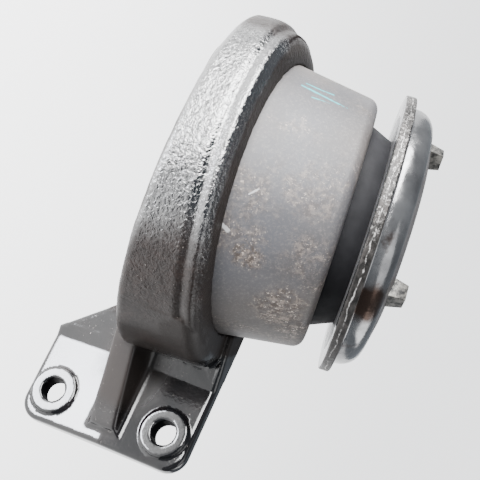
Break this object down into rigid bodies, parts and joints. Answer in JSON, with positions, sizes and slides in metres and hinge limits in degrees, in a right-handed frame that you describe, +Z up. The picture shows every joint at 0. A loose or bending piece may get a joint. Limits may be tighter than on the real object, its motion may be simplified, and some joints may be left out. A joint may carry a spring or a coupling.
{
  "type": "hydraulic engine mount",
  "caption": "Engine mount: a cast bracket's eye holds a steel can whose bonded rubber spring carries a domed stop plate with locating dogs; the bracket's foot bolts to the frame.",
  "frame": {"origin": "midway between the two foot bolts, on the foot's mating face", "axes": "+X from the eye to the foot's free edge, +Y out of the mating face, +Z up along the foot towards the stop plate"},
  "size_m": [0.2428, 0.1909, 0.1951],
  "materials": {
    "casting_paint": "glossy black paint over a rough cast surface",
    "can_steel": "matt grey phosphated drawn steel",
    "spring_rubber": "smooth moulded dark grey rubber",
    "core_steel": "machined steel",
    "plate_steel": "stamped steel with a worn bright dome and a sheared rim",
    "dog_steel": "forged steel, speckled on its upper faces",
    "channel_aluminium": "die-cast aluminium",
    "diaphragm_rubber": "thin black rubber",
    "cup_steel": "matt grey phosphated pressed steel"
  },
  "bodies": {
    "root": {"bracket_casting": "casting_paint", "outer_can": "can_steel", "rubber_spring": "spring_rubber", "core": "core_steel", "stop_plate": "plate_steel", "locating_dog_1": "dog_steel", "locating_dog_2": "dog_steel", "locating_dog_3": "dog_steel", "channel_plate": "channel_aluminium", "diaphragm": "diaphragm_rubber", "base_cup": "cup_steel"}
  },
  "joints": []
}
